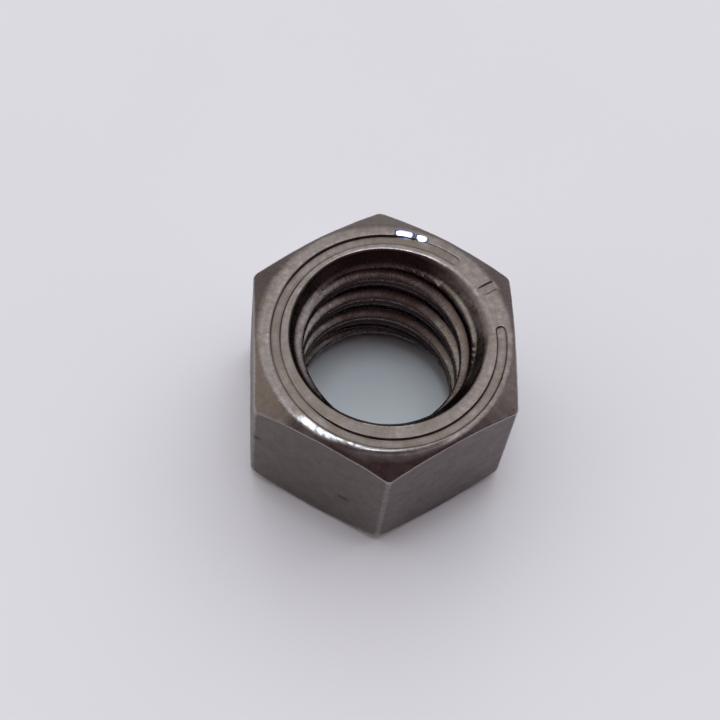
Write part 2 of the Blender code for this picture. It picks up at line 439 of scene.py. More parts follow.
    def spared(self, edge: Field, spots: Spots) -> Field:
        """Return the rubbed edges without what the marks spare; on the rim they are kept mostly where the
        rim carries a painted highlight.
        """
        near_mark = 1.0 - smoothstep(0.62, 0.72, np.abs(self.from_groove(spots)))
        near_mark = np.maximum(near_mark, self.dull_bar.at(spots.angle) * (spots.radius > 9.4))
        edge = edge * (1.0 - 0.85 * near_mark * (spots.height > self.top - 0.9))
        at_rim = np.abs(spots.radius - self.thread.rim_at(spots.angle)) < 0.75
        at_rim &= spots.height > self.top - 1.0
        return edge * np.where(at_rim, 0.15 + 0.85 * summed(self.rubbed_rim_highlight, spots.angle), 1.0)

    def groove_wall_shade(self, spots: Spots) -> Field:
        """Return where painted shade darkens the groove's inner and outer sides."""
        across = self.from_groove(spots)
        lines = bell(across, 0.40, 0.10) * self.shade_outer_wall.at(spots.angle)
        lines += bell(across, -0.42, 0.07) * self.shade_inner_wall.at(spots.angle)
        lines += bell(across, -0.42, 0.06) * self.shade_front_wall.at(spots.angle)
        depth = 0.42 + self.shade_thick.at(spots.angle)
        return depth * lines * (spots.height > self.top - 0.8)

    def stain(self, spots: Spots) -> Field:
        """Return where the metal is tinted olive and brown."""
        angle, radius, height = spots.angle, spots.radius, spots.height
        off = np.abs(self.from_groove(spots))
        total = self.olive_left.at(angle) * (1.0 - smoothstep(0.35, 0.75, off))
        total += self.olive_back.at(angle) * (1.0 - smoothstep(0.30, 0.45, off))
        total += self.olive_front.at(angle) * (1.0 - smoothstep(0.38, 0.48, off))
        near_top = height > self.top - 1.6
        total += self.olive_back_edge.at(angle) * smoothstep(10.9, 11.2, radius) * near_top
        total += self.olive_left_edge.at(angle) * smoothstep(11.3, 11.8, radius) * near_top
        total += self.brown_bore.at(angle) * (radius < self.thread.rim_radius - 0.3)
        total += self.brown_land.at(angle) * (radius < 9.98) * (height > self.top - 0.6)
        total += self.brown_flat.at(angle) * (radius > 11.0) * (height < self.top - 1.0)
        return np.clip(total, 0.0, 1.0) * np.clip(0.75 + 0.35 * ripple(spots.points, 2.2, 31), 0.0, 1.0)


@dataclass
class HexNut:
    """The nut's skin: one closed sheet of rows that run round the axis."""

    columns: int = 480
    bore_rows: int = 128
    chamfer_radius: float = 11.55
    chamfer_angle: float = 30.0
    skin_waviness: float = 0.010
    broad_rim: Arc = Arc(4.0, 46.0, 16.0)
    wide_rim: Arc = Arc(-38.0, 46.0, 34.0, 0.28)
    round_rim: tuple[Arc, ...] = (Arc(2.0, 56.0, 22.0, 0.34), Arc(150.0, 212.0, 20.0, 0.12))
    knocked: Arc = Arc(-128.0, -108.0, 12.0)
    soft_back: Arc = Arc(5.0, 170.0, 30.0)
    soft_front: Arc = Arc(-104.0, -72.0, 14.0, 0.50)
    pressed_dips: tuple[Arc, ...] = (Arc(67.8, 73.0, 0.6, 0.145), Arc(75.2, 83.0, 0.7, 0.145))
    knock_drop: Arc = Arc(-128.0, -109.0, 11.0, 0.19)
    knock_tail: Arc = Arc(-106.0, -70.0, 18.0, 0.10)

    def __post_init__(self) -> None:
        """Take the outer sizes from the frame and set up the bore and the mark."""
        low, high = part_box(CAD_NODE)
        self.apothem = (high[0] - low[0]) / 2.0 / MM
        self.height = (high[2] - low[2]) / MM
        corner = (high[1] - low[1]) / 2.0 / MM
        sharp = self.apothem / math.cos(math.radians(30.0))
        self.corner_round = (sharp - corner) / (1.0 / math.cos(math.radians(30.0)) - 1.0)
        self.thread = CutThread(height=self.height)
        self.mark = StruckMark()
        self.angles = self.column_angles()
        self.slope = math.tan(math.radians(self.chamfer_angle))
        self.hex_radius = self.outline()

    def column_angles(self) -> Field:
        """Return the columns' angles in degrees, closer together at corners and mark ends."""
        fine = np.linspace(0.0, 360.0, 7201)
        density = np.ones_like(fine)
        for corner in range(6):
            off = wrap_degrees(fine - 30.0 - 60.0 * corner)
            density += 2.6 * np.exp(-((off / 2.0) ** 2))
        for end, spread in ((self.mark.start, 2.6), (self.mark.end, 2.6), (28.3, 3.8)):
            density += 2.4 * np.exp(-((wrap_degrees(fine - end) / spread) ** 2))
        total = np.concatenate([[0.0], np.cumsum((density[1:] + density[:-1]) / 2.0)])
        steps = np.linspace(0.0, total[-1], self.columns, endpoint=False)
        return np.interp(steps, total, fine)

    def outline(self) -> Field:
        """Return the hexagon's radius at each column, with its corners rounded."""
        from_corner = np.abs(wrap_degrees((self.angles - 30.0) * 6.0)) / 6.0
        psi = np.radians(from_corner)
        flat = self.apothem / np.cos(math.radians(30.0) - psi)
        centre = (self.apothem - self.corner_round) / math.cos(math.radians(30.0))
        inside = np.maximum(self.corner_round**2 - (centre * np.sin(psi)) ** 2, 0.0)
        round_part = centre * np.cos(psi) + np.sqrt(inside)
        tangent = centre + self.corner_round * math.cos(math.radians(30.0))
        reach = math.atan2(self.corner_round * 0.5, tangent)
        return np.where(psi < reach, round_part, flat)

    @staticmethod
    def bend(start: tuple, knee: tuple, end: tuple, count: int, flat: Field | float = 0.0) -> Rows:
        """Return rows of a rounded edge, both of its ends included.

        Args:
            start: Radius and height where the rounding starts.
            knee: Radius and height of the sharp edge that it rounds.
            end: Radius and height where it ends.
            count: How many rows it has.
            flat: 0 for an even curve, up to 1 for a straight facet.

        Returns:
            The rows as radii and heights.
        """
        rows = []
        for t in np.linspace(0.0, 1.0, count):
            curve = [(1 - t) ** 2 * a + 2 * t * (1 - t) * b + t * t * c
                     for a, b, c in zip(start, knee, end, strict=True)]
            chord = [(1 - t) * a + t * c for a, c in zip(start, end, strict=True)]
            rows.append(tuple((1 - flat) * p + flat * q for p, q in zip(curve, chord, strict=True)))
        return rows

    @staticmethod
    def between(start: tuple, end: tuple, shares: list[float]) -> Rows:
        """Return rows at the given shares of the way between two rows, ends left out."""
        return [tuple(a + (b - a) * s for a, b in zip(start, end, strict=True)) for s in shares]

    def rim(self) -> tuple[Field, Field, Field]:
        """Return the rim bevel's width, its drop at the bore, and the rounding under it."""
        angle = self.angles
        broad = self.broad_rim.at(angle)
        width = 0.15 + self.wide_rim.at(angle) + 0.26 * broad
        room = self.mark.from_axis(angle, self.mark.radius - self.mark.width / 2.0 - 0.12)
        width = np.minimum(width, room - self.thread.rim_at(angle) - 0.19)
        tilt = 12.0 + 9.0 * broad
        return width, width * np.tan(np.radians(tilt)), 0.22 + summed(self.round_rim, angle)

    def bore_part(self) -> Rows:
        """Return the bore's rows from the lower countersink up to the rim's rounding."""
        _, drop, rounding = self.rim()
        lean = math.radians(self.thread.sink_angle)
        top = self.height - drop - rounding * math.cos(lean)
        low = np.full_like(top, 0.22)
        rows = []
        for share in np.linspace(0.0, 1.0, self.bore_rows):
            height = low + (top - low) * share
            rows.append((self.thread.radius(self.angles, height, drop), height))
        return rows

    def face_part(self) -> Rows:
        """Return the rows from the rim's rounding over the struck face to the ring edge."""
        top = self.height * np.ones_like(self.angles)
        rim = self.thread.rim_at(self.angles)
        width, drop, rounding = self.rim()
        lean = math.radians(self.thread.sink_angle)
        start = (rim - rounding * math.sin(lean), top - drop - rounding * math.cos(lean))
        on_bevel = (rim + 0.5 * width, top - 0.5 * drop)
        rows = self.bend(start, (rim, top - drop), on_bevel, 7)[1:]
        outer_bend = 0.07 + 0.08 * width
        rows += self.bend((rim + 0.66 * width, top - 0.34 * drop), (rim + width, top),
                          (rim + width + outer_bend, top), 3)
        half = self.mark.width / 2.0
        inner, outer = self.mark.radius - half, self.mark.radius + half
        circles = [inner + o for o in (-0.12, -0.07, -0.035, 0.0, 0.035, 0.07, 0.12)]
        circles += [self.mark.radius - 0.17, self.mark.radius + 0.02, self.mark.radius + 0.2]
        circles += [outer + o for o in (-0.12, -0.07, -0.035, 0.0, 0.035, 0.07)]
        ring_rows = [(self.mark.from_axis(self.angles, c), top) for c in circles]
        rows += self.between(rows[-1], ring_rows[0], [0.5]) + ring_rows
        return rows

    def ring_edge_part(self, last: tuple) -> Rows:
        """Return the worn edge between the face and the chamfer, with its knocked facet."""
        facet, soft = self.knocked.at(self.angles), self.soft_back.at(self.angles)
        reach_in = 0.30 - 0.10 * facet + 0.12 * soft
        reach_out = 0.24 - 0.06 * facet + 0.30 * soft + self.soft_front.at(self.angles)
        top = self.height * np.ones_like(self.angles)
        knee = (self.chamfer_radius * np.ones_like(self.angles), top)
        start_radius = np.maximum(self.chamfer_radius - reach_in, last[0] + 0.03)
        across = self.hex_radius - self.chamfer_radius
        reach_out = np.minimum(reach_out * math.cos(math.radians(self.chamfer_angle)), across * 0.55)
        end = (knee[0] + reach_out, top - reach_out * self.slope)
        rows = self.between(last, (start_radius, top), [0.3, 0.62])
        return rows + self.bend((start_radius, top), knee, end, 10)

    def outside_part(self, last: tuple) -> Rows:
        """Return the chamfer, the flats and the lower chamfer down to the bearing face."""
        hexagon = self.hex_radius
        drop = (hexagon - self.chamfer_radius) * self.slope
        width = hexagon - last[0]
        nick = np.minimum(0.16, 0.45 * width)
        before = (hexagon - nick, self.height - drop + nick * self.slope)
        corner = (hexagon, self.height - drop)
        after = (hexagon, self.height - drop - nick)
        rows = self.between(last, before, [0.06, 0.2, 0.4, 0.6, 0.8, 0.94])
        rows += self.bend(before, corner, after, 5)
        foot = (hexagon, drop + nick)
        rows += self.between(after, foot, [0.01, 0.05, 0.14, 0.26, 0.38, 0.5, 0.62, 0.74, 0.86, 0.95, 0.99])
        low_knee = (hexagon, drop)
        low_start = (hexagon - nick, drop - nick * self.slope)
        rows += self.bend(foot, low_knee, low_start, 4)
        return rows

    def underside_part(self, last: tuple) -> Rows:
        """Return the lower chamfer, the bearing face and the lower countersink's edge."""
        ones = np.ones_like(self.angles)
        across = self.hex_radius - self.chamfer_radius
        reach = np.minimum(0.26, across * 0.5)
        floor = 0.0 * ones
        knee = (self.chamfer_radius * ones, floor)
        start = (knee[0] + reach, reach * self.slope)
        rows = self.between(last, start, [0.1, 0.5, 0.9])
        rows += self.bend(start, knee, (knee[0] - 0.3, floor), 5)
        lower = self.thread.lower_rim_radius
        rim = (lower * ones, floor)
        rows += self.between(rows[-1], (lower + 0.16, floor), [0.12, 0.5, 0.88])
        rows += self.bend((rim[0] + 0.16, floor), rim, (rim[0] - 0.15, 0.15 * ones), 4)
        return rows

    def sheet(self) -> tuple[Field, Field]:
        """Return the skin's points in millimetres and the region of each row."""
        bore = self.bore_part()
        face = self.face_part()
        edge = self.ring_edge_part(face[-1])
        outside = self.outside_part(edge[-1])
        below = self.underside_part(outside[-1])
        regions = ([Region.BORE] * len(bore) + [Region.FACE] * (len(face) + len(edge) - 1)
                   + [Region.CHAMFER] * 9 + [Region.FLATS] * (len(outside) - 8 - 2)
                   + [Region.UNDERSIDE] * (len(below) + 2))
        rows = bore + face + edge + outside + below
        radius = np.array([row[0] * np.ones_like(self.angles) for row in rows])
        height = np.array([row[1] * np.ones_like(self.angles) for row in rows])
        turn = np.radians(self.angles)[None, :]
        points = np.stack([radius * np.cos(turn), radius * np.sin(turn), height], axis=-1)
        first, last = len(bore), len(bore) + len(face) + len(edge)
        last += CHAMFER_ROWS_STRUCK
        struck = points[first:last]
        points[first:last, :, 2] -= self.mark.sink(struck[..., 0], struck[..., 1]) + self.smear(struck)
        points[first:, :, 2] -= self.knock(points[first:])
        return points, np.array([r.value for r in regions[: len(rows)]])

    def smear(self, points: Field) -> Field:
        """Return the shallow dip beside the groove where the struck metal was pressed aside."""
        spots = Spots.of(points)
        beside = spots.radius - self.mark.from_axis(spots.angle, self.mark.radius + self.mark.width / 2.0)
        slope = smoothstep(-0.06, 0.04, beside) * (1.0 - np.clip((beside - 0.03) / 0.60, 0.0, 1.0))
        return slope * summed(self.pressed_dips, spots.angle)

    def knock(self, points: Field) -> Field:
        """Return how far the front left of the ring edge is knocked down."""
        spots = Spots.of(points)
        ramp = np.clip((spots.radius - 10.82) / 0.86, 0.0, 1.0)
        tail = self.knock_tail.at(spots.angle) * smoothstep(11.15, 11.6, spots.radius)
        return (self.knock_drop.at(spots.angle) * ramp + tail) * smoothstep(12.6, 15.3, spots.height)

    def forged(self, points: Field) -> Field:
        """Return the points pressed in a little unevenly, as forging leaves them."""
        wave = 0.6 * ripple(points, 3.2, 11) + 0.4 * ripple(points, 1.3, 12)
        depth = self.skin_waviness * np.clip(1.6 + wave, 0.0, 3.2)
        return points - skin_normals(points) * depth[..., None]

    def build(self) -> bpy.types.Object:
        """Make the nut's object with its masks and return it."""
        flat_points, regions = self.sheet()
        points = self.forged(flat_points)
        weathering = Weathering(self.thread, self.mark, self.height, self.chamfer_radius)
        masks = weathering.masks(flat_points, skin_bending(points))
        rows, columns = points.shape[:2]
        index = np.arange(rows * columns).reshape(rows, columns)
        up, across = np.roll(index, -1, 0), np.roll(index, -1, 1)
        faces = np.stack([index, up, np.roll(up, -1, 1), across], axis=-1).reshape(-1, 4)
        mesh = bpy.data.meshes.new("forged_nut_body")
        mesh.from_pydata((points.reshape(-1, 3) * MM).tolist(), [], faces.tolist())
        mesh.polygons.foreach_set("material_index", np.repeat(regions, columns).astype(np.int32))
        for name, mask in masks.items():
            layer = mesh.attributes.new(name, "FLOAT", "POINT")
            layer.data.foreach_set("value", mask.astype(np.float32).ravel())
        mesh.shade_smooth()
        mesh.update()
        nut = bpy.data.objects.new("forged_nut_body", mesh)
        bpy.context.scene.collection.objects.link(nut)
        return nut


class Wiring:
    """Short calls for making and joining shader nodes in one tree."""

    def __init__(self, tree: bpy.types.NodeTree) -> None:
        """Keep the tree that nodes are made in."""
        self.tree = tree
        self.placed = 0

    def node(self, kind: str, **settings: object) -> Node:
        """Make a node and set its properties."""
        made = self.tree.nodes.new(kind)
        made.location = (200 * (self.placed % 12), -260 * (self.placed // 12))
        self.placed += 1
        for name, value in settings.items():
            setattr(made, name, value)
        return made

    def feed(self, socket: Socket, source: object) -> None:
        """Link a socket to a source, or set its value if the source is a plain one."""
        if isinstance(source, Socket):
            self.tree.links.new(source, socket)
        elif isinstance(source, tuple) and len(source) == 3 and socket.type == "RGBA":
            socket.default_value = (*source, 1.0)
        else:
            socket.default_value = source

    def maths(self, operation: str, *values: object, clamp: bool = False) -> Socket:
        """Return the result of a Math node."""
        made = self.node("ShaderNodeMath", operation=operation, use_clamp=clamp)
        for socket, value in zip(made.inputs, values, strict=False):
            self.feed(socket, value)
        return made.outputs[0]

    def times(self, a: object, b: object, clamp: bool = False) -> Socket:
        """Return two values multiplied."""
        return self.maths("MULTIPLY", a, b, clamp=clamp)

    def plus(self, a: object, b: object, clamp: bool = False) -> Socket:
        """Return two values added."""
        return self.maths("ADD", a, b, clamp=clamp)

    def minus(self, a: object, b: object) -> Socket:
        """Return the second value taken from the first."""
        return self.maths("SUBTRACT", a, b)

    def vector(self, operation: str, *values: object, out: int = 0) -> Socket:
        """Return the result of a Vector Math node."""
        made = self.node("ShaderNodeVectorMath", operation=operation)
        for socket, value in zip(made.inputs, values, strict=False):
            self.feed(socket, value)
        return made.outputs[out]

    def remap(self, value: object, low: float, high: float,
              to_low: float = 0.0, to_high: float = 1.0) -> Socket:
        """Return a value moved smoothly from one range to another and held inside it."""
        made = self.node("ShaderNodeMapRange", interpolation_type="SMOOTHSTEP")
        names = ("Value", "From Min", "From Max", "To Min", "To Max")
        for name, given in zip(names, (value, low, high, to_low, to_high), strict=True):
            self.feed(made.inputs[name], given)
        return made.outputs["Result"]

    def millimetres(self) -> Socket:
        """Return the place on the object in millimetres."""
        place = self.vector("SCALE", self.node("ShaderNodeTexCoord").outputs["Object"])
        place.node.inputs["Scale"].default_value = 1.0 / MM
        return place

    def mix(self, factor: object, a: object, b: object, blend: str = "MIX") -> Socket:
        """Return two colours mixed."""
        made = self.node("ShaderNodeMix", data_type="RGBA", blend_type=blend)
        self.feed(made.inputs["Factor"], factor)
        self.feed(made.inputs[6], a)
        self.feed(made.inputs[7], b)
        return made.outputs[2]

    def noise(self, vector: object, scale: object, detail: float = 2.0,
              rough: float = 0.5) -> Socket:
        """Return a noise value."""
        made = self.node("ShaderNodeTexNoise")
        names = ("Vector", "Scale", "Detail", "Roughness")
        for name, given in zip(names, (vector, scale, detail, rough), strict=True):
            self.feed(made.inputs[name], given)
        return made.outputs["Fac"]

    def group(self, tree: bpy.types.NodeTree, **inputs: object) -> Node:
        """Place a node group and feed its inputs, whose names use _ for a space."""
        made = self.node("ShaderNodeGroup")
        made.node_tree = tree
        for name, given in inputs.items():
            self.feed(made.inputs[name.replace("_", " ")], given)
        return made


GroupParts = tuple[Wiring, Node, Node]


class SurfaceEffects:
    """The node groups that the finishes share, each built once."""

    def __init__(self) -> None:
        """Build every group."""
        self.grain = self._grain()
        self.turning = self._turning()
        self.pits = self._pits()
        self.wear = self._wear()

    @staticmethod
    def start(name: str, inputs: dict[str, object], outputs: tuple[str, ...]) -> GroupParts:
        """Make an empty group with named sockets.

        Args:
            name: The group's name.
            inputs: A default for each input by name; None for a vector.
            outputs: The names of the outputs.

        Returns:
            The wiring, the input node and the output node.
        """
        tree = bpy.data.node_groups.new(name, "ShaderNodeTree")
        for label, default in inputs.items():
            kind = "NodeSocketVector" if default is None else "NodeSocketFloat"
            socket = tree.interface.new_socket(label, in_out="INPUT", socket_type=kind)
            if default is not None:
                socket.default_value = default
        for label in outputs:
            tree.interface.new_socket(label, in_out="OUTPUT", socket_type="NodeSocketFloat")
        wiring = Wiring(tree)
        return wiring, wiring.node("NodeGroupInput"), wiring.node("NodeGroupOutput")

    def _grain(self) -> bpy.types.NodeTree:
        """Broad mottling, middle patches and fine grain of a forged skin."""
        w, i, o = self.start("forged grain", {"Place": None, "Size": 1.0}, ("Mottle", "Patches", "Grain"))
        place = w.vector("SCALE", i.outputs["Place"])
        w.feed(place.node.inputs["Scale"], w.maths("DIVIDE", 1.0, i.outputs["Size"]))
        w.feed(o.inputs["Mottle"], w.remap(w.noise(place, 0.32, 3.0, 0.55), 0.3, 0.7))
        w.feed(o.inputs["Patches"], w.remap(w.noise(place, 1.3, 4.0, 0.6), 0.32, 0.68))
        w.feed(o.inputs["Grain"], w.remap(w.noise(place, 6.5, 3.0, 0.65), 0.25, 0.75))
        return w.tree

    def _turning(self) -> bpy.types.NodeTree:
        """Fine marks that run round the axis, and others that run across them."""
        w, i, o = self.start("turning marks", {"Place": None, "Fineness": 7.0}, ("Round", "Across"))
        parts = w.node("ShaderNodeSeparateXYZ")
        w.feed(parts.inputs[0], i.outputs["Place"])
        flat = w.node("ShaderNodeCombineXYZ")
        w.feed(flat.inputs[0], parts.outputs[0])
        w.feed(flat.inputs[1], parts.outputs[1])
        radius = w.vector("LENGTH", flat.outputs[0], out=1)
        way = w.vector("NORMALIZE", flat.outputs[0])
        ways = w.node("ShaderNodeSeparateXYZ")
        w.feed(ways.inputs[0], way)
        depth = w.plus(w.times(radius, i.outputs["Fineness"]),
                        w.times(parts.outputs[2], i.outputs["Fineness"]))
        round_place = w.node("ShaderNodeCombineXYZ")
        for k in (0, 1):
            w.feed(round_place.inputs[k], w.times(ways.outputs[k], 3.0))
        w.feed(round_place.inputs[2], depth)
        w.feed(o.inputs["Round"], w.remap(w.noise(round_place.outputs[0], 1.0, 3.0, 0.6), 0.3, 0.7))
        cross_place = w.node("ShaderNodeCombineXYZ")
        for k in (0, 1):
            w.feed(cross_place.inputs[k], w.times(ways.outputs[k], 46.0))
        w.feed(cross_place.inputs[2], w.times(depth, 0.16))
        w.feed(o.inputs["Across"], w.remap(w.noise(cross_place.outputs[0], 1.0, 2.0, 0.6), 0.3, 0.7))
        return w.tree

    def _pits(self) -> bpy.types.NodeTree:
        """Small pits and scale marks scattered thinly."""
        w, i, o = self.start("scale pits", {"Place": None, "Spacing": 1.6, "Amount": 0.5}, ("Mask",))
        ragged = w.node("ShaderNodeTexNoise")
        w.feed(ragged.inputs["Vector"], i.outputs["Place"])
        w.feed(ragged.inputs["Scale"], 3.0)
        bent = w.vector("ADD", i.outputs["Place"], ragged.outputs["Color"])
        cells = w.node("ShaderNodeTexVoronoi", feature="F1")
        w.feed(cells.inputs["Vector"], bent)
        w.feed(cells.inputs["Scale"], w.maths("DIVIDE", 1.0, i.outputs["Spacing"]))
        near = w.remap(cells.outputs["Distance"], 0.05, 0.16, 1.0, 0.0)
        parts = w.node("ShaderNodeSeparateColor")
        w.feed(parts.inputs[0], cells.outputs["Color"])
        chosen = w.maths("LESS_THAN", parts.outputs[0], i.outputs["Amount"])
        w.feed(o.inputs["Mask"], w.times(near, chosen))
        return w.tree

    def _wear(self) -> bpy.types.NodeTree:
        """Edges rubbed bright, broken up by noise."""
        inputs = {"Place": None, "Edge": 0.0, "Breakup": 0.5, "Amount": 1.0}
        w, i, o = self.start("edge wear", inputs, ("Mask",))
        rough = w.noise(i.outputs["Place"], 3.2, 3.0, 0.6)
        cut = w.times(w.minus(rough, 0.5), i.outputs["Breakup"])
        broken = w.plus(i.outputs["Edge"], w.times(cut, 2.0))
        mask = w.times(w.remap(broken, 0.1, 0.9), w.remap(i.outputs["Edge"], 0.0, 0.15))
        w.feed(o.inputs["Mask"], w.times(mask, i.outputs["Amount"], clamp=True))
        return w.tree


@dataclass(frozen=True)
class SteelFinish:
    """How one region of the nut is coloured and polished."""

    name: str
    light: Colour
    dark: Colour
    tint: Colour
    worn_and_highlight: Colour
    shade_and_grime: Colour
    roughness: float
    rough_spread: float
    worn_roughness: float
    grain_size: float
    grain_depth: float
    marks_round: float
    marks_across: float
    pit_amount: float
    wear_amount: float
    shade_and_grime_amount: float
    # The bore's dark colour, painted as shade where its faces turn sideways or down.
    shaded_walls: Colour | None = None
    wall_roughness: float = 0.3
    grazing_tint: Colour = (1.0, 1.0, 1.0)
    nicks: tuple[tuple[float, float, float], ...] = ()

    def dress(self, effects: SurfaceEffects) -> bpy.types.Material:
        """Build the finish's material.

        Args:
            effects: The shared node groups.

        Returns:
            The material.
        """
        material = bpy.data.materials.new(self.name)
        material.use_nodes = True
        material.node_tree.nodes.clear()
        w = Wiring(material.node_tree)
        place = w.millimetres()
        masks = {n: w.node("ShaderNodeAttribute", attribute_name=n).outputs["Fac"] for n in MASK_NAMES}
        grain = w.group(effects.grain, Place=place, Size=self.grain_size).outputs
        turning = w.group(effects.turning, Place=place, Fineness=7.0).outputs
        masks["pits"] = self.pits(w, effects, place, grain["Grain"])
        masks["wear"] = w.group(effects.wear, Place=place, Edge=masks["edge"], Breakup=0.45,
                                Amount=self.wear_amount).outputs["Mask"]
        masks["streak"] = w.plus(w.times(turning["Round"], self.marks_round),
                                  w.times(turning["Across"], self.marks_across))
        masks["blend"] = w.plus(w.times(grain["Mottle"], 0.55),
                                 w.times(grain["Patches"], 0.45))
        bump = w.node("ShaderNodeBump")
        bump.inputs["Strength"].default_value = 1.0
        bump.inputs["Distance"].default_value = MM
        w.feed(bump.inputs["Height"], self.relief(w, masks, grain))
        shader = w.node("ShaderNodeBsdfPrincipled")
        shader.inputs["Metallic"].default_value = 1.0
        shader.inputs["Specular Tint"].default_value = (*self.grazing_tint, 1.0)
        w.feed(shader.inputs["Base Color"], self.colour(w, masks, grain))
        w.feed(shader.inputs["Roughness"], self.polish(w, masks))
        w.feed(shader.inputs["Normal"], bump.outputs["Normal"])
        w.tree.links.new(shader.outputs["BSDF"], w.node("ShaderNodeOutputMaterial").inputs["Surface"])
        return material

    def pits(self, w: Wiring, effects: SurfaceEffects, place: object, grain: object) -> Socket:
        """Return where pits and nicks lie."""
        pits = w.group(effects.pits, Place=place, Spacing=1.7, Amount=self.pit_amount).outputs["Mask"]
        for nick in self.nicks:
            away = w.vector("MULTIPLY", w.vector("SUBTRACT", place, nick), NICK_STRETCH)
            ragged = w.plus(w.vector("LENGTH", away, out=1), w.times(grain, 0.4))
            pits = w.maths("MAXIMUM", pits, w.remap(ragged, 0.5, 1.0, 1.2, 0.0))
        return pits

    def colour(self, w: Wiring, masks: Sockets, grain: Sockets) -> Socket:
        """Return the colour: mottled, stained and streaked steel, then the bore's painted light and shade,
        painted shade in creases with dark pits, rubbed edges that also carry painted highlights, and the
        oily drops' painted glints, in turn.
        """
        colour = w.mix(masks["blend"], self.light, self.dark)
        tinted = w.times(grain["Patches"], w.minus(1.0, grain["Mottle"]))
        colour = w.mix(tinted, colour, self.tint)
        colour = w.mix(masks["stain"], colour, self.tint)
        shade = w.plus(w.times(grain["Grain"], 0.5), masks["streak"])
        shade = w.remap(shade, 0.0, 1.2, 0.80, 1.20)
        grey = w.node("ShaderNodeCombineColor")
        for socket in grey.inputs[:3]:
            w.feed(socket, shade)
        colour = w.mix(1.0, colour, grey.outputs[0], "MULTIPLY")
        # Painted light and shade in the bore: lit faces keep the finish colour, the rest takes the dark
        # shaded colour.
        if self.shaded_walls is not None:
            colour = w.mix(masks["cut"], self.shaded_walls, colour)
        # Painted shade in creases and along the groove's sides, darkened further in pits and nicks.
        shade_and_grime = w.plus(masks["recess"], w.times(masks["pits"], 0.8), clamp=True)
        colour = w.mix(w.times(shade_and_grime, self.shade_and_grime_amount, clamp=True), colour, self.shade_and_grime)
        # Rubbed edges in the bright rubbed colour, which also paints the highlights on the knocked ring
        # edge and the rim.
        colour = w.mix(masks["wear"], colour, self.worn_and_highlight)
        # Painted reflection: the oily drops get a dark blue rim and a blue-white glint.
        colour = w.mix(w.remap(masks["oil_glint"], 0.0, 0.35), colour, GLINT_DARK_RIM)
        return w.mix(w.remap(masks["oil_glint"], 0.55, 1.0, 0.0, 0.95), colour, GLINT_SHINE)

    def polish(self, w: Wiring, masks: Sockets) -> Socket:
        """Return the roughness: uneven over the steel, smoother on rubbed edges and under the oily drops.
        """
        plain: object = self.roughness
        if self.shaded_walls is not None:
            plain = w.remap(masks["cut"], 0.0, 1.0, self.wall_roughness, self.roughness)
        uneven = w.times(w.minus(masks["blend"], 0.5), self.rough_spread)
        streaks = w.times(w.minus(masks["streak"], 0.3), self.rough_spread * 0.6)
        rough = w.plus(w.plus(plain, uneven), streaks)
        rough = w.plus(w.times(rough, w.minus(1.0, masks["wear"])),
                        w.times(masks["wear"], self.worn_roughness))
        return w.times(rough, w.remap(masks["oil_glint"], 0.0, 0.8, 1.0, 0.42), clamp=True)

    def relief(self, w: Wiring, masks: Sockets, grain: Sockets) -> Socket:
        """Return the fine relief in millimetres: grain, marks and pits, smoothed under the oily drops."""
        height = w.plus(w.times(grain["Grain"], self.grain_depth),
                         w.times(masks["streak"], self.grain_depth * 1.1))
        height = w.minus(height, w.times(masks["pits"], self.grain_depth * 4.0))
        return w.times(height, w.remap(masks["oil_glint"], 0.0, 0.8, 1.0, 0.15))


FINISHES: dict[Region, SteelFinish] = {
    # The face's rubbed colour is blue-white so that it also paints the ring edge's highlight.
    Region.FACE: SteelFinish(
        "pressed_face_steel", (0.232, 0.208, 0.201), (0.172, 0.152, 0.146), (0.148, 0.130, 0.110),
        (0.57, 0.585, 0.61), (0.035, 0.024, 0.022),
        0.36, 0.14, 0.20, 0.8, 0.003, 0.30, 0.26, 0.08, 0.62, 0.85),
    Region.CHAMFER: SteelFinish(
        "oiled_chamfer_steel", (0.25, 0.218, 0.212), (0.180, 0.150, 0.147), (0.20, 0.178, 0.140),
        (0.46, 0.45, 0.45), (0.03, 0.02, 0.018), 0.30, 0.12, 0.20, 0.8, 0.003, 0.15, 0.25, 0.10, 0.6, 0.85),
    Region.FLATS: SteelFinish(
        "scaled_flat_steel", (0.200, 0.161, 0.161), (0.148, 0.117, 0.118), (0.168, 0.140, 0.120),
        (0.42, 0.39, 0.39), (0.03, 0.022, 0.022), 0.50, 0.10, 0.38, 0.40, 0.006, 0.0, 0.08, 0.45, 0.8, 0.85,
        nicks=((-3.5, -11.84, 6.2), (-11.7, -7.1, 9.4))),
    # The bore's pale colours paint its lit flanks; its last colour is painted shade for the faces that turn
    # away.
    Region.BORE: SteelFinish(
        "cut_thread_steel", (0.52, 0.507, 0.490), (0.34, 0.325, 0.312), (0.27, 0.235, 0.175),
        (0.55, 0.53, 0.52), (0.022, 0.015, 0.014), 0.32, 0.14, 0.22, 0.6, 0.006, 0.1, 0.8, 0.10, 0.50, 0.30,
        (0.066, 0.043, 0.046), 0.24, (0.50, 0.46, 0.46)),
    Region.UNDERSIDE: SteelFinish(
        "bearing_face_steel", (0.26, 0.232, 0.222), (0.19, 0.168, 0.158), (0.22, 0.195, 0.15),
        (0.44, 0.42, 0.40), (0.03, 0.022, 0.02), 0.38, 0.14, 0.26, 0.9, 0.004, 0.45, 0.1, 0.22, 0.6, 0.85),
}


@dataclass(frozen=True)
class SoftLight:
    """A soft patch of light painted on the surroundings."""

    direction: tuple[float, float, float]
    half_angle: float
    fade: float
    colour: Colour
    strength: float


